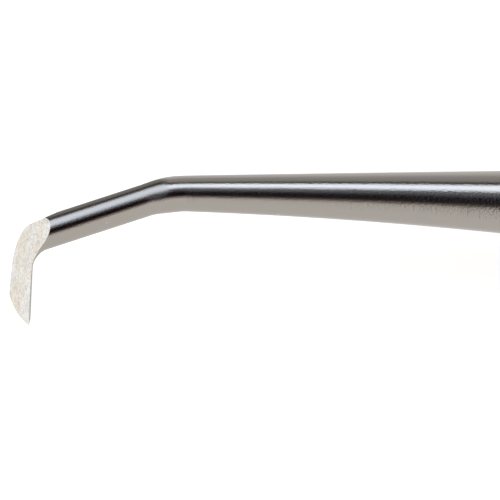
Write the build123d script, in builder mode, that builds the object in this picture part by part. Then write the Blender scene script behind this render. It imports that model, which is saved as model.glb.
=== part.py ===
from build123d import *
from math import cos, pi, radians, sin, sqrt, tan
import os

# A double-ended machinist's scriber with screw-in tips.
# The tool lies along X, with the middle of its handle at the origin. The bent
# scribing hook is at -X and reaches out towards -Y, the straight carbide point
# is at +X, and the tool rests on one flat of its hexagonal socket, at -Z.
# Lengths are in millimetres and angles in degrees.

# ---- driving dimensions ----
# Handle: sleeves stacked on a core tube, clamped between two screwed-in sockets.
sleeve_radius = 4.5
grip_radius = 4.4
spacer_radius = 4.15
round_flange_radius = 4.3
hex_across_flats = 9.2
core_radius = 3.5
core_bore_radius = 2.8
slip = 0.02                     # radial clearance between parts that slide together

flange_length = 4.0
grip_length = 24.0
spacer_length = 1.5
sleeve_length = 33.0
edge_break = 0.3
nut_bevel = 0.7

# Each grip has knurled bands parted by plain grooves.
groove_count = 2
groove_width = 1.0
groove_depth = 0.35

# Threaded joint between a tip and its socket, M4 x 0.7.
thread_radius = 2.0
thread_root_radius = 1.6
thread_pitch = 0.7
thread_turns = 8
thread_crest_width = 0.14
thread_foot_width = 0.58
thread_overlap = 0.05           # how far the ridge is sunk into the shank it stands on
thread_clearance = 0.05
seat_gap = 0.01
shank_length = (thread_turns + 1) * thread_pitch
socket_shank_length = 12.0

# Seal ring that keeps a tip from working loose, and its pocket in the flange.
ring_section_radius = 0.45
ring_centre_radius = 2.6
pocket_radius = 3.1
pocket_depth = 1.0

# Collar at the shoulder of both tips, with two wrench flats.
collar_radius = 3.42
collar_length = 3.0
collar_across_flats = 6.0
collar_flat_length = 2.0

# Hook tip: a neck that flares to the collar, a first bend, a straight leg, and
# a second bend down into the blade, which ends up square to the handle.
neck_straight = 14.11
neck_sway_radius = 600.0
neck_sway = 2.0
bend_radius = 9.0
bend_angle = 18.6
leg_length = 7.41
leg_radius = 1.10
bend_swell = 0.05               # extra radius in the middle of the first bend
hook_bend_radius = 2.45
hook_swell = 0.03               # and in the middle of the second
hook_bend_angle = 90.0 - neck_sway - bend_angle
blade_length = 4.4
neck_slim_radius = 1.222        # radius of the neck where it meets the first bend
neck_taper = 0.0264             # its growth per millimetre from there
neck_flare = 0.00076            # and the growth that adds up with the square

# Ground face of the hook: tilted across the blade, and very slightly crowned along
# it. Its crest lies this far along the blade from the point where the axes of the
# leg and the blade cross, and this far below the line through that point.
face_tilt = 45.9
crown_radius = 29.16
crest_along = 3.79
crest_drop = 0.40

# Flat ground on the outside of the second bend, through two points given as X and Y
# offsets from the same crossing.
shoulder_flat = ((0.0, 0.854), (2.486, 2.089))

# Sharpened end of the blade, as X and Y offsets from the same crossing.
heel = (-0.48, -3.30)
end_curve = (0.08, -4.62)
sharp_point = (1.00, -5.56)
point_bevel = (1.12, -5.08)
grind_reach = 8.0               # reach of the grinding cuts past the blade

# Point tip: a slim cone with a carbide insert brazed into its end.
cone_length = 31.0
cone_end_radius = 1.2
cone_waist = (0.5, 1.75)        # control point of its hollow side: share of length, radius
cone_bevel = 0.3
insert_radius = 0.8
insert_length = 11.0
insert_seat = 5.0
insert_cone_length = 3.4
insert_end_radius = 0.03

# ---- places along the handle ----
stack_half = grip_length + spacer_length + sleeve_length / 2
handle_half = stack_half + flange_length
sleeve_bore_radius = core_radius + slip
collar_end = handle_half + seat_gap + collar_length


def facing_out(side, distance):
    """The plane across the tool at this distance from its middle, facing that end."""
    return Plane(origin=(side * distance, 0, 0), x_dir=(0, 1, 0), z_dir=(side, 0, 0))


def handle_sleeve(outer_radius, middle, length, bevel):
    """A plain sleeve on the core tube, bevelled along its two outer rims."""
    with BuildPart() as sleeve:
        with BuildSketch(Plane.YZ.offset(middle - length / 2)):
            Circle(outer_radius)
            Circle(sleeve_bore_radius, mode=Mode.SUBTRACT)
        extrude(amount=length)
        rims = sleeve.edges().filter_by(GeomType.CIRCLE).sort_by(SortBy.RADIUS)[-2:]
        chamfer(rims, length=bevel)
    return sleeve


def save(piece, name):
    piece.part.label = name
    export_step(piece.part, f"parts/{name}.step")


# ---- core tube, centre sleeve, spacers and grips ----
with BuildPart() as core_tube:
    with BuildSketch(Plane.YZ.offset(-stack_half)):
        Circle(core_radius)
        Circle(core_bore_radius, mode=Mode.SUBTRACT)
    extrude(amount=2 * stack_half)

centre_sleeve = handle_sleeve(sleeve_radius, 0, sleeve_length, edge_break)


def spacer(side):
    middle = side * (sleeve_length + spacer_length) / 2
    return handle_sleeve(spacer_radius, middle, spacer_length, edge_break / 2)


def grip(side):
    """A grip sleeve with evenly spaced grooves between its knurled bands."""
    middle = side * (stack_half - grip_length / 2)
    blank = handle_sleeve(grip_radius, middle, grip_length, edge_break)
    groove_step = grip_length / (groove_count + 1)
    with BuildPart() as sleeve:
        add(blank.part)
        for number in range(groove_count):
            groove_middle = middle + (number - (groove_count - 1) / 2) * groove_step
            with BuildSketch(Plane.YZ.offset(groove_middle)):
                Circle(grip_radius + groove_width)
                Circle(grip_radius - groove_depth, mode=Mode.SUBTRACT)
            extrude(amount=groove_width / 2, both=True, mode=Mode.SUBTRACT)
    return sleeve


# ---- sockets: screwed into the core tube, their flanges clamp the stack ----
def socket(side, hexagonal):
    """A flange and a hollow shank, with the tip's bore and the seal ring's pocket."""
    hex_corner_radius = hex_across_flats / 2 / cos(radians(30))
    with BuildPart() as turned:
        with BuildSketch(facing_out(side, stack_half)):
            Circle(hex_corner_radius if hexagonal else round_flange_radius)
        extrude(amount=flange_length)
        rims = turned.edges().filter_by(GeomType.CIRCLE)
        chamfer(rims, length=nut_bevel / 2, length2=nut_bevel)
    with BuildPart() as piece:
        add(turned.part)
        if hexagonal:
            with BuildSketch(facing_out(side, stack_half)):
                RegularPolygon(hex_across_flats / 2, 6, major_radius=False)
            extrude(amount=flange_length, mode=Mode.INTERSECT)
        with BuildSketch(facing_out(side, stack_half - socket_shank_length)):
            Circle(core_bore_radius - slip)
        extrude(amount=socket_shank_length)
        with Locations(facing_out(side, handle_half)):
            CounterBoreHole(thread_radius + thread_clearance, pocket_radius, pocket_depth)
    return piece


def seal_ring(side):
    middle = side * (handle_half - pocket_depth / 2)
    with BuildPart() as ring:
        with BuildSketch(Plane.XZ):
            with Locations((middle, ring_centre_radius)):
                Circle(ring_section_radius)
        revolve(axis=Axis.X)
    return ring


# ---- threaded shank and collar, the same on both tips ----
def tip_root(side):
    """A collar with two wrench flats, and the threaded shank that enters the socket."""
    shoulder = facing_out(side, handle_half + seat_gap)
    inward = facing_out(-side, -(handle_half + seat_gap))
    with BuildPart() as root:
        with BuildSketch(shoulder):
            Circle(collar_radius)
        extrude(amount=collar_length)
        with BuildSketch(shoulder.offset(collar_flat_length / 2)):
            Rectangle(3 * collar_radius, 3 * collar_radius)
            Rectangle(3 * collar_radius, collar_across_flats, mode=Mode.SUBTRACT)
        extrude(amount=collar_flat_length / 2, both=True, mode=Mode.SUBTRACT)
        with BuildSketch(inward):
            Circle(thread_root_radius)
        extrude(amount=shank_length)
        with BuildLine() as thread_line:
            thread_start = inward.origin + inward.z_dir * thread_pitch / 2
            Helix(
                pitch=thread_pitch,
                height=thread_turns * thread_pitch,
                radius=thread_root_radius,
                center=thread_start,
                direction=inward.z_dir,
            )
        foot = thread_line.line @ 0
        outward = (foot - thread_start).normalized()
        with BuildSketch(Plane(origin=foot, x_dir=outward, z_dir=thread_line.line % 0)):
            depth = thread_radius - thread_root_radius
            Polygon(
                (-thread_overlap, -thread_foot_width / 2),
                (depth, -thread_crest_width / 2),
                (depth, thread_crest_width / 2),
                (-thread_overlap, thread_foot_width / 2),
                align=None,
            )
        sweep(path=thread_line.line, is_frenet=True)
    return root


# ---- hook tip ----
with BuildLine() as spine:
    straight = Line((-collar_end, 0), (-collar_end - neck_straight, 0))
    sway = JernArc(straight @ 1, straight % 1, neck_sway_radius, neck_sway)
    bend = JernArc(sway @ 1, sway % 1, bend_radius, bend_angle)
    leg = Line(bend @ 1, bend @ 1 + (bend % 1) * leg_length)
    hook_bend = JernArc(leg @ 1, leg % 1, hook_bend_radius, hook_bend_angle)
    blade = Line(hook_bend @ 1, hook_bend @ 1 + (hook_bend % 1) * blade_length)


def across(path, place):
    """The plane square to the path at this place, from 0 to 1 along it."""
    return Plane(origin=path @ place, x_dir=(0, 0, 1), z_dir=path % place)


def neck_radius(distance):
    """Radius of the neck at this distance from the first bend."""
    return neck_slim_radius + neck_taper * distance + neck_flare * distance**2


def bend_ring_radius(start_radius, swell, place):
    """Radius inside a bend that runs down to the leg's radius, a little swollen half way."""
    return start_radius + (leg_radius - start_radius) * place + swell * sin(pi * place) ** 2


axis_crossing = leg @ 1 + (leg % 1) * hook_bend_radius * tan(radians(hook_bend_angle / 2))
grinding = Plane(
    origin=axis_crossing,
    x_dir=(0, 1, 0),
    z_dir=(cos(radians(face_tilt)), 0, sin(radians(face_tilt))),
)


def crown(along):
    """A point of the crowned face's profile, at this distance along Y."""
    fall = crown_radius - sqrt(crown_radius**2 - (along + crest_along) ** 2)
    return (along, -crest_drop - fall)


hook_root = tip_root(-1)
with BuildPart() as hook_tip:
    add(hook_root.part)
    for place in (0, 0.5, 1):
        with BuildSketch(across(straight, place)):
            Circle(neck_radius(sway.length + straight.length * (1 - place)))
    for place in (0.25, 0.5, 0.75, 1):
        with BuildSketch(across(sway, place)):
            Circle(neck_radius(sway.length * (1 - place)))
    loft()
    bends = ((bend, neck_slim_radius, bend_swell), (hook_bend, leg_radius, hook_swell))
    for curve, start_radius, swell in bends:
        for place in (0, 0.25, 0.5, 0.75, 1):
            with BuildSketch(across(curve, place)):
                Circle(bend_ring_radius(start_radius, swell, place))
        loft()
    for stretch in (leg, blade):
        with BuildSketch(across(stretch, 0)):
            Circle(leg_radius)
        sweep(path=stretch)
    # Grind the face: everything above the crowned profile goes.
    with BuildSketch(grinding):
        with BuildLine():
            profile = ThreePointArc(crown(-grind_reach), crown(-crest_along), crown(grind_reach))
            Polyline(
                profile @ 1,
                (grind_reach, grind_reach),
                (-grind_reach, grind_reach),
                profile @ 0,
            )
        make_face()
    extrude(amount=grind_reach, both=True, mode=Mode.SUBTRACT)
    # Grind the flat on the outside of the second bend.
    with BuildSketch(Plane(origin=axis_crossing)):
        Polygon(
            shoulder_flat[0],
            shoulder_flat[1],
            (shoulder_flat[0][0], grind_reach),
            align=None,
        )
    extrude(amount=2 * leg_radius, both=True, mode=Mode.SUBTRACT)
    # Sharpen the end: a rounded bevel from the heel, and a small one inside the point.
    with BuildSketch(Plane(origin=axis_crossing)):
        with BuildLine():
            sharpened = ThreePointArc(heel, end_curve, sharp_point)
            Polyline(
                sharpened @ 1,
                point_bevel,
                (grind_reach, point_bevel[1]),
                (grind_reach, -grind_reach),
                (-grind_reach, -grind_reach),
                (-grind_reach, heel[1]),
                sharpened @ 0,
            )
        make_face()
    extrude(amount=2 * leg_radius, both=True, mode=Mode.SUBTRACT)

# ---- point tip ----
point_root = tip_root(1)
cone_end = collar_end + cone_length
with BuildPart() as point_tip:
    add(point_root.part)
    with BuildSketch(Plane.XZ):
        with BuildLine():
            side_line = Bezier(
                (collar_end, collar_radius),
                (collar_end + cone_length * cone_waist[0], cone_waist[1]),
                (cone_end - cone_bevel, cone_end_radius),
            )
            Polyline(
                side_line @ 1,
                (cone_end, cone_end_radius - cone_bevel),
                (cone_end, 0),
                (collar_end, 0),
                side_line @ 0,
            )
        make_face()
    revolve(axis=Axis.X)
    with Locations(facing_out(1, cone_end)):
        Hole(insert_radius, depth=insert_seat)

with BuildPart() as carbide_point:
    seat = cone_end - insert_seat
    with BuildSketch(Plane.XZ):
        Polygon(
            (seat, 0),
            (seat, insert_radius),
            (seat + insert_length - insert_cone_length, insert_radius),
            (seat + insert_length, insert_end_radius),
            (seat + insert_length, 0),
            align=None,
        )
    revolve(axis=Axis.X)

# ---- write every piece ----
os.makedirs("parts", exist_ok=True)
save(core_tube, "core_tube")
save(centre_sleeve, "centre_sleeve")
save(hook_tip, "hook_tip")
save(point_tip, "point_tip")
save(carbide_point, "carbide_point")
for end, side, hexagonal in (("hook_end", -1, True), ("point_end", 1, False)):
    save(spacer(side), f"{end}_spacer")
    save(grip(side), f"{end}_grip")
    save(socket(side, hexagonal), f"{end}_socket")
    save(seal_ring(side), f"{end}_seal_ring")
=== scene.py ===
from math import atan2, cos, hypot, pi, radians, sin, tan

import bmesh
import bpy
from mathutils import Matrix, Vector


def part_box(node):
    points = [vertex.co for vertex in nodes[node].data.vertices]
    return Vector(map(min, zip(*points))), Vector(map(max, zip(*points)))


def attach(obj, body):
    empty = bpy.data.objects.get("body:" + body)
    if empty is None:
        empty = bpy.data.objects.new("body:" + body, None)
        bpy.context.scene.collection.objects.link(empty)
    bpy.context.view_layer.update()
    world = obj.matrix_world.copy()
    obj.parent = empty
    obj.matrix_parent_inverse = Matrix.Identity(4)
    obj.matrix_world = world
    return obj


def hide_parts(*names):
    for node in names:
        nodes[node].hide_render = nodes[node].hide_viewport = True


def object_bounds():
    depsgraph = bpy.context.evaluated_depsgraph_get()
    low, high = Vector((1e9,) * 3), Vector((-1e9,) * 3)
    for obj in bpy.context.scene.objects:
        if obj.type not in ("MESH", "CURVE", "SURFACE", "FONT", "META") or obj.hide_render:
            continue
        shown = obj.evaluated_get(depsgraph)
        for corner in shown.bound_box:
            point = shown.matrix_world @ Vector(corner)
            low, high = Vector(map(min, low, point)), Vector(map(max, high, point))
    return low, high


# A double-ended machinist's scriber, seen close at its hook end.
# The tool lies along X on a white table: the hook is at -X and reaches out to -Y,
# the carbide point is at +X. Everything is in metres, in the frame of the CAD model.

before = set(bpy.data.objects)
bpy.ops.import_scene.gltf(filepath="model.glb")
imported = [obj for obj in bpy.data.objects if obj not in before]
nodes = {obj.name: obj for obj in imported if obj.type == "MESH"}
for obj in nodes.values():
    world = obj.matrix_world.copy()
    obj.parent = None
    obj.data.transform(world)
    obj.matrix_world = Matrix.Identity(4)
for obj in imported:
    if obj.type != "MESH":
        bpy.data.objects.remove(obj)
cad_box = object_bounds()
MM = 0.001

hook_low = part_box("hook_tip")[0]
floor_level = cad_box[0].z
ROD_MAP = "rod"
KNURL_DEPTH = 0.32 * MM
GRIP_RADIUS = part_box("hook_end_grip")[1].y

# ---- the look of the scene as a whole ----
scene = bpy.context.scene
scene.view_settings.view_transform = "Standard"
scene.view_settings.look = "None"

# ---- camera: straight above the hook, a little turned ----
camera_roll = radians(2.57)
view_width = 33.65 * MM
aim = Vector((hook_low.x + 16.07 * MM, hook_low.y + 5.72 * MM, 0.0))
camera_data = bpy.data.cameras.new("Camera")
camera_data.type = "PERSP"
camera_data.lens = 800.0
camera_data.sensor_width = 36.0
camera_data.clip_start = 0.01
camera_data.clip_end = 50.0
camera_height = view_width * camera_data.lens / camera_data.sensor_width
camera = bpy.data.objects.new("Camera", camera_data)
camera_place = Matrix.Translation(aim + Vector((0, 0, camera_height)))
camera.matrix_world = camera_place @ Matrix.Rotation(camera_roll, 4, "Z")
scene.collection.objects.link(camera)
scene.camera = camera


# ---- small helpers for node trees ----
class Tree:
    """A node tree that is written as calls: each call adds one node and returns its output."""

    def __init__(self, tree):
        self.tree = tree
        self.tree.nodes.clear()

    def add(self, kind, inputs=(), output=0, **settings):
        node = self.tree.nodes.new(kind)
        for name, value in settings.items():
            setattr(node, name, value)
        for key, value in dict(inputs).items():
            socket = node.inputs[key]
            if isinstance(value, bpy.types.NodeSocket):
                self.tree.links.new(value, socket)
            else:
                socket.default_value = value
        return node.outputs[output] if len(node.outputs) else node

    def math(self, operation, *values):
        return self.add("ShaderNodeMath", dict(enumerate(values)), operation=operation)

    def vector_math(self, operation, *values, output=0):
        return self.add("ShaderNodeVectorMath", dict(enumerate(values)), output, operation=operation)

    def scaled(self, vector, scale):
        return self.vector_math("MULTIPLY", vector, scale)

    def split(self, vector):
        node = self.add("ShaderNodeSeparateXYZ", {0: vector}).node
        return node.outputs[0], node.outputs[1], node.outputs[2]

    def remap(self, value, low, high, to_low=0.0, to_high=1.0, smooth=False):
        kind = "SMOOTHSTEP" if smooth else "LINEAR"
        inputs = {0: value, 1: low, 2: high, 3: to_low, 4: to_high}
        return self.add("ShaderNodeMapRange", inputs, interpolation_type=kind, clamp=True)

    def noise(self, vector, scale=1.0, detail=2.0, roughness=0.5):
        inputs = {"Vector": vector, "Scale": scale, "Detail": detail, "Roughness": roughness}
        return self.add("ShaderNodeTexNoise", inputs)

    def mix(self, factor, first, second):
        node = self.add("ShaderNodeMix", {0: factor}, data_type="RGBA").node
        for socket, value in ((node.inputs[6], first), (node.inputs[7], second)):
            if isinstance(value, bpy.types.NodeSocket):
                self.tree.links.new(value, socket)
            else:
                socket.default_value = value
        return node.outputs[2]

    def mix_value(self, factor, first, second):
        return self.add("ShaderNodeMix", {0: factor, 2: first, 3: second}, data_type="FLOAT")

    def ramp(self, value, stops, interpolation="LINEAR"):
        node = self.add("ShaderNodeValToRGB", {0: value}).node
        elements = node.color_ramp.elements
        node.color_ramp.interpolation = interpolation
        while len(elements) > 1:
            elements.remove(elements[-1])
        for i, (place, colour) in enumerate(stops):
            stop = elements[0] if i == 0 else elements.new(place)
            stop.position = place
            stop.color = (*colour, 1.0)
        return node.outputs[0]

    def bump(self, height, strength, distance, normal=None):
        inputs = {"Height": height, "Strength": strength, "Distance": distance}
        if normal is not None:
            inputs["Normal"] = normal
        return self.add("ShaderNodeBump", inputs)


# ---- studio: strips of light and shade that run along the tool ----
def build_world():
    """Brightness by the angle from overhead round the tool's axis, positive towards +Y."""
    warm = (1.03, 1.00, 0.96)
    # angle in degrees, colour
    strips = [
        (-180, (0.86, 0.84, 0.81)),
        (-140, (0.97, 0.94, 0.90)),
        (-110, warm),
        (-33, warm),
        (-27, (0.84, 0.78, 0.72)),
        (-21, (0.34, 0.28, 0.25)),
        (-13, (0.08, 0.055, 0.05)),
        (-6, (0.010, 0.004, 0.005)),
        (10, (0.010, 0.008, 0.012)),
        (16, (0.08, 0.08, 0.09)),
        (22, (0.18, 0.185, 0.20)),
        (32, (0.24, 0.26, 0.29)),
        (35, (0.60, 0.66, 0.76)),
        (40, (1.70, 1.84, 2.08)),
        (49, (2.25, 2.48, 2.85)),
        (60, (2.00, 2.18, 2.44)),
        (65, (0.60, 0.60, 0.60)),
        (68, (0.115, 0.115, 0.115)),
        (74, (0.10, 0.098, 0.095)),
        (79, (0.43, 0.42, 0.40)),
        (90, (0.53, 0.51, 0.49)),
        (105, (0.60, 0.58, 0.56)),
        (115, (0.74, 0.72, 0.70)),
        (128, (0.92, 0.90, 0.88)),
        (180, (0.86, 0.84, 0.81)),
    ]
    world = bpy.data.worlds.new("Studio")
    scene.world = world
    world.use_nodes = True
    t = Tree(world.node_tree)
    direction = t.add("ShaderNodeTexCoord", output="Generated")
    x, y, z = t.split(direction)
    angle = t.math("MULTIPLY", t.math("ARCTAN2", y, z), 180 / pi)
    # Towards -X the softbox is nearer, so it looks wider and less bright there.
    bearing = t.math("DIVIDE", t.math("SUBTRACT", -0.07, x), t.math("MAXIMUM", y, 0.3))
    nearer = t.remap(bearing, 0.08, 0.26, smooth=True)
    squeeze = t.mix_value(nearer, 1.0, 0.50)
    middle = 50.0
    squeezed = t.math("ADD", t.math("MULTIPLY", t.math("SUBTRACT", angle, middle), squeeze), middle)
    place = t.remap(squeezed, -180.0, 180.0)
    strip = t.ramp(place, [((a + 180) / 360, c) for a, c in strips])
    overhead = t.remap(angle, -5.0, 5.0)
    dimming = t.math("MULTIPLY", nearer, overhead)
    strip = t.mix(t.math("MULTIPLY", dimming, 0.28), strip, (0.0, 0.0, 0.0, 1.0))
    # Towards the ends of the tool the strips run out into plain light.
    hook_side = t.remap(t.math("MULTIPLY", x, -1.0), 0.50, 0.80, smooth=True)
    point_side = t.remap(x, 0.6, 0.95, smooth=True)
    light = t.mix(hook_side, strip, (1.50, 1.49, 1.47, 1.0))
    light = t.mix(point_side, light, (1.0, 1.0, 1.0, 1.0))
    seen = t.add("ShaderNodeLightPath", output="Is Camera Ray")
    shown = t.mix(seen, light, (1.0, 1.0, 1.0, 1.0))
    background = t.add("ShaderNodeBackground", {"Color": shown, "Strength": 1.0})
    t.add("ShaderNodeOutputWorld", {"Surface": background})


build_world()


# ---- table ----
def staged_sheet(name, corner, opposite, level):
    mesh = bpy.data.meshes.new(name)
    (x0, y0), (x1, y1) = corner, opposite
    corners = [(x0, y0, level), (x1, y0, level), (x1, y1, level), (x0, y1, level)]
    mesh.from_pydata(corners, [], [(0, 1, 2, 3)])
    sheet = bpy.data.objects.new(name, mesh)
    scene.collection.objects.link(sheet)
    return sheet


def build_floor():
    half = 3.0
    floor = staged_sheet("floor", (-half, -half), (half, half), floor_level)
    material = bpy.data.materials.new("white_table")
    material.use_nodes = True
    t = Tree(material.node_tree)
    shader = t.add("ShaderNodeBsdfPrincipled", {
        "Base Color": (0.80, 0.80, 0.79, 1.0),
        "Roughness": 0.9,
        "Specular IOR Level": 0.1,
        "Emission Color": (1.0, 1.0, 1.0, 1.0),
        "Emission Strength": 0.62,
    })
    t.add("ShaderNodeOutputMaterial", {"Surface": shader})
    floor.data.materials.append(material)

    # The tool mirrors the studio rather than the table.
    floor.visible_glossy = False


build_floor()


# ---- materials ----
def new_material(name):
    material = bpy.data.materials.new(name)
    material.use_nodes = True
    return material, Tree(material.node_tree)


def surface(t, colour, roughness, normal, metallic=1.0):
    inputs = {"Base Color": colour, "Roughness": roughness, "Metallic": metallic, "Normal": normal}
    return t.add("ShaderNodeBsdfPrincipled", inputs)


def drawn_place(t):
    """Place on the bent rod: metres along it, metres round it."""
    return t.add("ShaderNodeUVMap", uv_map=ROD_MAP)


def polished_material():
    """Polished steel with fine marks drawn along the rod."""
    material, t = new_material("polished_steel_rod")
    place = drawn_place(t)
    marks = t.noise(t.scaled(place, (5200.0, 14000.0, 0.0)), detail=3.0, roughness=0.6)
    waves = t.noise(t.scaled(place, (700.0, 2500.0, 0.0)), detail=1.0)
    specks = t.noise(t.scaled(place, (1500.0, 4500.0, 0.0)), detail=0.0)
    speck = t.remap(specks, 0.86, 0.88)
    colour = t.mix(speck, (0.375, 0.358, 0.338, 1.0), (0.60, 0.59, 0.57, 1.0))
    roughness = t.remap(marks, 0.3, 0.7, 0.03, 0.09)
    normal = t.bump(marks, 1.0, 0.0080 * MM)
    normal = t.bump(waves, 1.0, 0.0045 * MM, normal)
    shader = surface(t, colour, roughness, normal)
    t.add("ShaderNodeOutputMaterial", {"Surface": shader})
    return material


def ground_material():
    """The hook's ground face: satin, with grinding lines that run down the blade."""
    material, t = new_material("ground_steel_face")
    place = t.add("ShaderNodeTexCoord", output="Object")
    lines = t.noise(t.scaled(place, (12000.0, 6000.0, 12000.0)), detail=3.0, roughness=0.65)
    mottle = t.noise(t.scaled(place, (3600.0, 1900.0, 3600.0)), detail=3.0)
    patches = t.noise(t.scaled(place, (900.0, 420.0, 900.0)), detail=2.0)
    tone = t.mix(t.remap(patches, 0.40, 0.60), (0.64, 0.635, 0.62, 1.0), (0.62, 0.575, 0.51, 1.0))
    tone = t.mix(t.remap(mottle, 0.48, 0.66, 0.0, 0.35), tone, (0.47, 0.455, 0.42, 1.0))
    tone = t.mix(t.remap(lines, 0.48, 0.62, 0.0, 0.60), tone, (0.36, 0.345, 0.32, 1.0))
    normal = t.bump(lines, 1.0, 0.010 * MM)
    normal = t.bump(mottle, 0.7, 0.008 * MM, normal)
    shader = surface(t, tone, t.remap(mottle, 0.3, 0.7, 0.36, 0.50), normal)
    t.add("ShaderNodeOutputMaterial", {"Surface": shader})
    return material


def turned_material(name, colour, dark, roughness):
    """Satin steel with fine turning lines round the tool and a little wear."""
    material, t = new_material(name)
    place = t.add("ShaderNodeTexCoord", output="Object")
    lines = t.noise(t.scaled(place, (26000.0, 90.0, 90.0)), detail=3.0, roughness=0.6)
    cloud = t.noise(place, scale=260.0, detail=4.0)
    tone = t.mix(t.remap(cloud, 0.35, 0.7), colour, dark)
    clouded = t.remap(cloud, 0.3, 0.7, roughness - 0.03, roughness + 0.04)
    rough = t.math("ADD", t.remap(lines, 0.3, 0.7, -0.05, 0.05), clouded)
    normal = t.bump(lines, 0.4, 0.006 * MM)
    shader = surface(t, tone, rough, normal)
    t.add("ShaderNodeOutputMaterial", {"Surface": shader})
    return material


def soft_material(name, colour, light, roughness, grain_scale):
    """Moulded plastic or rubber with a fine even grain."""
    material, t = new_material(name)
    place = t.add("ShaderNodeTexCoord", output="Object")
    grain = t.noise(place, scale=grain_scale, detail=3.0)
    cloud = t.noise(place, scale=400.0, detail=3.0)
    tone = t.mix(t.remap(cloud, 0.3, 0.7), colour, light)
    normal = t.bump(grain, 0.5, 0.01 * MM)
    rough = t.remap(grain, 0.3, 0.7, roughness - 0.06, roughness + 0.06)
    shader = surface(t, tone, rough, normal, metallic=0.0)
    t.add("ShaderNodeOutputMaterial", {"Surface": shader})
    return material


def knurled_material():
    """Nickel-plated knurling, with painted shade that darkens its colour down between its diamonds."""
    material, t = new_material("knurled_steel")
    place = t.add("ShaderNodeTexCoord", output="Object")
    from_axis = t.vector_math("LENGTH", t.scaled(place, (0.0, 1.0, 1.0)), output=1)
    crest = GRIP_RADIUS - 0.2 * KNURL_DEPTH
    raised = t.remap(from_axis, GRIP_RADIUS - KNURL_DEPTH, crest)
    cloud = t.noise(place, scale=1800.0, detail=3.0)
    bright = t.mix(cloud, (0.56, 0.55, 0.53, 1.0), (0.48, 0.47, 0.45, 1.0))
    # painted shade: the colour is bright on the crests and goes dark down in the valleys between the
    # diamonds, where shade falls
    tone = t.mix(raised, (0.16, 0.155, 0.15, 1.0), bright)
    normal = t.bump(cloud, 0.4, 0.01 * MM)
    shader = surface(t, tone, t.remap(raised, 0.0, 1.0, 0.45, 0.26), normal)
    t.add("ShaderNodeOutputMaterial", {"Surface": shader})
    return material


polished = polished_material()
ground = ground_material()
cone = turned_material("polished_steel_cone", (0.42, 0.405, 0.385, 1.0), (0.38, 0.365, 0.345, 1.0), 0.14)
satin = turned_material("satin_steel_turned", (0.56, 0.55, 0.53, 1.0), (0.50, 0.49, 0.47, 1.0), 0.26)
plain = turned_material("plain_steel_drawn", (0.42, 0.41, 0.40, 1.0), (0.33, 0.32, 0.31, 1.0), 0.38)
knurled = knurled_material()
carbide = turned_material("carbide_ground", (0.27, 0.27, 0.28, 1.0), (0.22, 0.22, 0.23, 1.0), 0.24)
acetal = soft_material("black_acetal", (0.018, 0.018, 0.019, 1.0), (0.03, 0.03, 0.031, 1.0), 0.42, 9000.0)
rubber = soft_material("black_rubber", (0.012, 0.012, 0.012, 1.0), (0.025, 0.024, 0.023, 1.0), 0.6, 12000.0)

FINISHES = {
    "polished_steel": cone,
    "satin_steel": satin,
    "plain_steel": plain,
    "grip_steel": knurled,
    "carbide": carbide,
    "spacer_plastic": acetal,
    "seal_rubber": rubber,
}
for node in nodes.values():
    for slot in node.material_slots:
        slot.material = FINISHES[slot.material.name]


# ---- hook tip ----
def link_mesh(name, points, faces):
    mesh = bpy.data.meshes.new(name)
    mesh.from_pydata(points, [], faces)
    mesh.update()
    made = bpy.data.objects.new(name, mesh)
    scene.collection.objects.link(made)
    return made


def clean(piece):
    """Merges points that fall together, and turns every face outwards."""
    mesh = bmesh.new()
    mesh.from_mesh(piece.data)
    bmesh.ops.remove_doubles(mesh, verts=mesh.verts, dist=0.0001 * MM)
    bmesh.ops.recalc_face_normals(mesh, faces=mesh.faces)
    mesh.to_mesh(piece.data)
    mesh.free()


# The hook tip's measures, in mm and degrees, the same as the CAD model's.
collar_face = -46.01
collar_end = -49.01
collar_radius = 3.42
collar_half_flats = 3.0
collar_flat_length = 2.0
collar_bevel = 0.12
shank_root = 1.6
shank_length = 6.3
thread_pitch = 0.7
thread_turns = 8
neck_straight = 14.11
neck_sway_radius, neck_sway = 600.0, 2.0
bend_radius, bend_angle = 9.0, 18.6
leg_length = 7.41
leg_radius = 1.10
bend_swell, hook_swell = 0.05, 0.03
hook_bend_radius, hook_bend_angle = 2.45, 69.4
blade_length = 4.4
neck_slim_radius, neck_taper, neck_flare = 1.222, 0.0264, 0.00076
face_tilt = radians(45.9)
crown_radius = 29.16
crest_along = 3.79
crest_drop = 0.40
heel, end_curve, sharp_point = (-0.48, -3.30), (0.08, -4.62), (1.00, -5.56)
point_bevel = (1.12, -5.08)
shoulder_flat = ((0.0, 0.854), (2.486, 2.089))
grind_reach = 8.0


class Spine:
    """The rod's centre line in the XY plane, walked from the collar to the blade's end."""

    def __init__(self, start, heading):
        self.place = Vector((start, 0.0, 0.0))
        self.heading = radians(heading)
        self.run = 0.0
        self.rings = []

    def ahead(self):
        return Vector((cos(self.heading), sin(self.heading), 0.0))

    def left(self):
        return Vector((-sin(self.heading), cos(self.heading), 0.0))

    def mark(self, radius):
        self.rings.append((self.place.copy(), self.left(), radius, self.run))

    def step(self, length, turn=0.0):
        """One short step along a straight line, or along an arc that turns by this angle."""
        half = turn / 2
        chord = length if turn == 0 else length * sin(half) / half
        self.heading += half
        self.place += self.ahead() * chord
        self.heading += half
        self.run += length

    def walk(self, length, turn, count, radius_at):
        for i in range(1, count + 1):
            self.step(length / count, radians(turn) / count)
            self.mark(radius_at(i / count))


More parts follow.
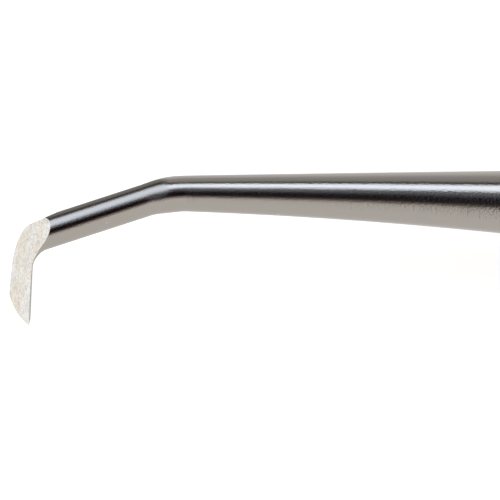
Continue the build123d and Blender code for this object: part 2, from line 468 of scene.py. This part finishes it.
def build_rod():
    """The collar, neck, leg and blade as one closed tube of rings, before grinding."""
    around = 192
    spine = Spine(collar_face + shank_length, 180.0)
    profile = [(0.0, 0.01), (0.0, shank_root - 0.15), (0.15, shank_root),
               (shank_length, shank_root), (shank_length, collar_radius - collar_bevel),
               (shank_length + collar_bevel, collar_radius),
               (shank_length + collar_flat_length, collar_radius),
               (shank_length + collar_flat_length, collar_radius),
               (shank_length + collar_face - collar_end - collar_bevel, collar_radius),
               (shank_length + collar_face - collar_end, collar_radius - collar_bevel)]
    for run, radius in profile:
        spine.step(run - spine.run)
        spine.mark(radius)
    flat_rings = (4, 5, 6)
    sway_length = neck_sway_radius * radians(neck_sway)
    neck_length = neck_straight + sway_length

    def neck(distance):
        return neck_slim_radius + neck_taper * distance + neck_flare * distance**2

    def bent(start_radius, swell):
        """Radius along a bend that runs down to the leg's radius, a little swollen half way."""
        return lambda share: start_radius + (leg_radius - start_radius) * share + swell * sin(pi * share) ** 2

    spine.mark(neck(neck_length))
    spine.walk(neck_straight, 0.0, 15, lambda share: neck(neck_length - neck_straight * share))
    spine.walk(sway_length, neck_sway, 24, lambda share: neck(sway_length * (1 - share)))
    spine.walk(bend_radius * radians(bend_angle), bend_angle, 36, bent(neck_slim_radius, bend_swell))
    spine.walk(leg_length, 0.0, 12, lambda share: leg_radius)
    corner_reach = hook_bend_radius * tan(radians(hook_bend_angle / 2))
    crossing = spine.place + spine.ahead() * corner_reach
    spine.walk(hook_bend_radius * radians(hook_bend_angle), hook_bend_angle, 40, bent(leg_radius, hook_swell))
    spine.walk(blade_length, 0.0, 8, lambda share: leg_radius)

    points, faces, map_places = [], [], []
    for number, (centre, left, radius, run) in enumerate(spine.rings):
        for i in range(around):
            angle = 2 * pi * i / around - pi / 2
            y, z = radius * cos(angle), radius * sin(angle)
            if number in flat_rings:
                z = max(-collar_half_flats, min(collar_half_flats, z))
            points.append((centre + left * y + Vector((0, 0, z))) * MM)
    for row in range(len(spine.rings) - 1):
        for i in range(around):
            j = (i + 1) % around
            here, after = row * around, (row + 1) * around
            faces.append((here + i, after + i, after + j, here + j))
            runs = (spine.rings[row][3], spine.rings[row + 1][3])
            turns = (i / around, (i + 1) / around)
            corners = ((runs[0], turns[0]), (runs[1], turns[0]), (runs[1], turns[1]), (runs[0], turns[1]))
            for run, turn in corners:
                map_places.append((run * MM, turn * 2 * pi * leg_radius * MM))
    last = (len(spine.rings) - 1) * around
    faces.append(tuple(reversed(range(around))))
    faces.append(tuple(range(last, last + around)))
    map_places += [(0.0, 0.0)] * (2 * around)
    rod = link_mesh("hook_tip_rod", points, faces)
    layer = rod.data.uv_layers.new(name=ROD_MAP)
    for corner, uv in zip(layer.data, map_places):
        corner.uv = uv
    clean(rod)
    return rod, crossing


def arc_through(first, middle, last, count):
    """Points of the circular arc through three points."""
    (ax, ay), (bx, by), (cx, cy) = first, middle, last
    d = 2 * (ax * (by - cy) + bx * (cy - ay) + cx * (ay - by))
    a2, b2, c2 = ax * ax + ay * ay, bx * bx + by * by, cx * cx + cy * cy
    ux = (a2 * (by - cy) + b2 * (cy - ay) + c2 * (ay - by)) / d
    uy = (a2 * (cx - bx) + b2 * (ax - cx) + c2 * (bx - ax)) / d
    radius = hypot(ax - ux, ay - uy)
    start, end = atan2(ay - uy, ax - ux), atan2(cy - uy, cx - ux)
    if abs(end - start) > pi:
        end += 2 * pi if end < start else -2 * pi
    angles = [start + (end - start) * i / count for i in range(count + 1)]
    return [(ux + radius * cos(angle), uy + radius * sin(angle)) for angle in angles]


def prism(name, outline, origin, x_axis, z_axis, reach):
    """A closed prism with this outline, in mm, that reaches both ways along its Z axis."""
    y_axis = z_axis.cross(x_axis)
    points = []
    for side in (-reach, reach):
        points += [(origin + x_axis * x + y_axis * y + z_axis * side) * MM for x, y in outline]
    n = len(outline)
    faces = [tuple(range(n)), tuple(range(2 * n - 1, n - 1, -1))]
    faces += [(i, i + n, (i + 1) % n + n, (i + 1) % n) for i in range(n)]
    made = link_mesh(name, points, faces)
    clean(made)
    return made


def cut(piece, cutters):
    for cutter in cutters:
        boolean = piece.modifiers.new(cutter.name, "BOOLEAN")
        boolean.operation = "DIFFERENCE"
        boolean.solver = "EXACT"
        boolean.object = cutter
    bpy.context.view_layer.update()
    evaluated = piece.evaluated_get(bpy.context.evaluated_depsgraph_get())
    mesh = bpy.data.meshes.new_from_object(evaluated)
    piece.modifiers.clear()
    piece.data = mesh
    for cutter in cutters:
        bpy.data.objects.remove(cutter)


def thread_ridge(steps_per_turn=64):
    """The M4 ridge as a closed helical strip of four-point sections that fades in and out."""
    foot_radius, crest_radius = shank_root - 0.05, 2.0
    foot_half, crest_half = 0.29, 0.07
    total = thread_turns * steps_per_turn
    points, faces = [], []
    for i in range(total + 1):
        turn = i / steps_per_turn
        fade = min(1.0, 4 * min(i, total - i) / steps_per_turn + 0.1)
        crest = foot_radius + (crest_radius - foot_radius) * fade
        middle = collar_face + thread_pitch * (0.5 + turn)
        angle = 2 * pi * turn
        rising = ((foot_radius, -foot_half), (crest, -crest_half))
        falling = ((crest, crest_half), (foot_radius, foot_half))
        for radius, shift in rising + falling:
            points.append(Vector((middle + shift, radius * cos(angle), -radius * sin(angle))) * MM)
    for i in range(total):
        for k in range(4):
            m = (k + 1) % 4
            faces.append((4 * i + k, 4 * i + m, 4 * i + 4 + m, 4 * i + 4 + k))
    faces.append((3, 2, 1, 0))
    faces.append(tuple(4 * total + k for k in range(4)))
    return points, faces


def build_hook_tip():
    rod, crossing = build_rod()
    down_face = Vector((cos(face_tilt), 0, sin(face_tilt)))
    crown = []
    crown_steps = 160
    for i in range(crown_steps + 1):
        along = -grind_reach + 2 * grind_reach * i / crown_steps
        fall = crown_radius - (crown_radius**2 - (along + crest_along) ** 2) ** 0.5
        crown.append((along, -crest_drop - fall))
    crown += [(grind_reach, grind_reach), (-grind_reach, grind_reach)]
    face_cutter = prism("face_cutter", crown, crossing, Vector((0, 1, 0)), down_face, grind_reach)
    outline = arc_through(heel, end_curve, sharp_point, 24)
    outline += [point_bevel, (grind_reach, point_bevel[1]), (grind_reach, -grind_reach),
                (-grind_reach, -grind_reach), (-grind_reach, heel[1])]
    along_x, along_z = Vector((1, 0, 0)), Vector((0, 0, 1))
    end_cutter = prism("end_cutter", outline, crossing, along_x, along_z, 3 * leg_radius)
    shoulder = [shoulder_flat[0], shoulder_flat[1], (shoulder_flat[0][0], grind_reach)]
    shoulder_cutter = prism("shoulder_cutter", shoulder, crossing, along_x, along_z, 3 * leg_radius)
    cut(rod, [face_cutter, end_cutter, shoulder_cutter])

    # Faces left by the grinding cuts are satin, the drawn rod is polished.
    rod.data.materials.clear()
    rod.data.materials.append(polished)
    rod.data.materials.append(ground)
    face_normal = Vector((-sin(face_tilt), 0, cos(face_tilt)))
    (x0, y0), (x1, y1) = shoulder_flat
    shoulder_normal = Vector((y0 - y1, x1 - x0, 0)).normalized()
    for polygon in rod.data.polygons:
        place = polygon.center / MM - crossing
        drop = place.dot(face_normal) + crest_drop + crown_radius
        off_face = abs(hypot(drop, place.y + crest_along) - crown_radius)
        on_face = off_face < 0.004 and polygon.normal.dot(face_normal) > 0.95
        on_end = place.y < heel[1] + 0.05 and abs(polygon.normal.z) < 0.001
        on_shoulder = polygon.normal.dot(shoulder_normal) > 0.9999
        polygon.material_index = 1 if on_face or on_end or on_shoulder else 0
        polygon.use_smooth = True

    # The thread joins the rod's mesh as its own closed strip.
    mesh = bmesh.new()
    mesh.from_mesh(rod.data)
    ridge_points, ridge_faces = thread_ridge()
    made = [mesh.verts.new(point) for point in ridge_points]
    for face in ridge_faces:
        mesh.faces.new([made[k] for k in face]).smooth = True
    mesh.to_mesh(rod.data)
    mesh.free()
    rod.data.set_sharp_from_angle(angle=radians(32))
    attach(rod, "hook_tip")
    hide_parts("hook_tip")


build_hook_tip()


# ---- knurled grips ----
def build_grip(node_name, piece_name):
    """The grip sleeve with diamond knurling cut in its three bands."""
    low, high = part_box(node_name)
    start, length = low.x, high.x - low.x
    radius = high.y
    bore = 3.52 * MM
    diamonds_round = 24
    steps_per_diamond = 8
    depth = KNURL_DEPTH
    groove_bevel = 0.1 * MM
    crest = 0.80                    # share of the full pyramid height at which it is cut flat
    bands = 3
    groove_width = 1.0 * MM
    groove_floor = radius - 0.35 * MM
    bevel = 0.3 * MM
    pitch = 2 * pi * radius / diamonds_round
    around = diamonds_round * steps_per_diamond

    def wave(u):
        return abs(2 * (u - round(u)))

    def knurl(turn, along):
        s = turn * diamonds_round
        a = along / pitch
        height = min(wave(s + a), wave(s - a), crest) / crest
        return radius - depth * (1 - height)

    rows = []                       # (place along the grip, largest radius there, knurled)
    step = length / bands
    for band in range(bands):
        band_start = band * step + (0.0 if band == 0 else groove_width / 2)
        band_end = (band + 1) * step - (0.0 if band == bands - 1 else groove_width / 2)
        start_bevel = bevel if band == 0 else groove_bevel
        end_bevel = bevel if band == bands - 1 else groove_bevel
        if band > 0:
            rows.append((band_start, groove_floor, False))
        rows.append((band_start, radius - max(start_bevel, depth), False))
        count = round((band_end - band_start) / pitch * steps_per_diamond)
        for i in range(count + 1):
            along = band_start + (band_end - band_start) * i / count
            limit = radius - max(0.0, start_bevel - (along - band_start), end_bevel - (band_end - along))
            rows.append((along, limit, True))
        rows.append((band_end, radius - max(end_bevel, depth), False))
        if band < bands - 1:
            rows.append((band_end, groove_floor, False))

    points = []
    for along, limit, is_knurled in rows:
        for i in range(around):
            turn = i / around
            r = min(limit, knurl(turn, along)) if is_knurled else limit
            points.append((start + along, r * cos(2 * pi * turn), r * sin(2 * pi * turn)))
    for along in (length, 0.0):
        for i in range(around):
            turn = i / around
            points.append((start + along, bore * cos(2 * pi * turn), bore * sin(2 * pi * turn)))
    count = len(rows) + 2
    faces = []
    for row in range(count):
        after = (row + 1) % count
        for i in range(around):
            j = (i + 1) % around
            faces.append((row * around + i, row * around + j, after * around + j, after * around + i))
    mesh = bpy.data.meshes.new(piece_name)
    mesh.from_pydata(points, [], faces)
    mesh.validate()
    mesh.update()
    grip = bpy.data.objects.new(piece_name, mesh)
    scene.collection.objects.link(grip)
    mesh.materials.append(knurled)
    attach(grip, "handle")
    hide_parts(node_name)


build_grip("hook_end_grip", "hook_end_knurled_grip")
build_grip("point_end_grip", "point_end_knurled_grip")
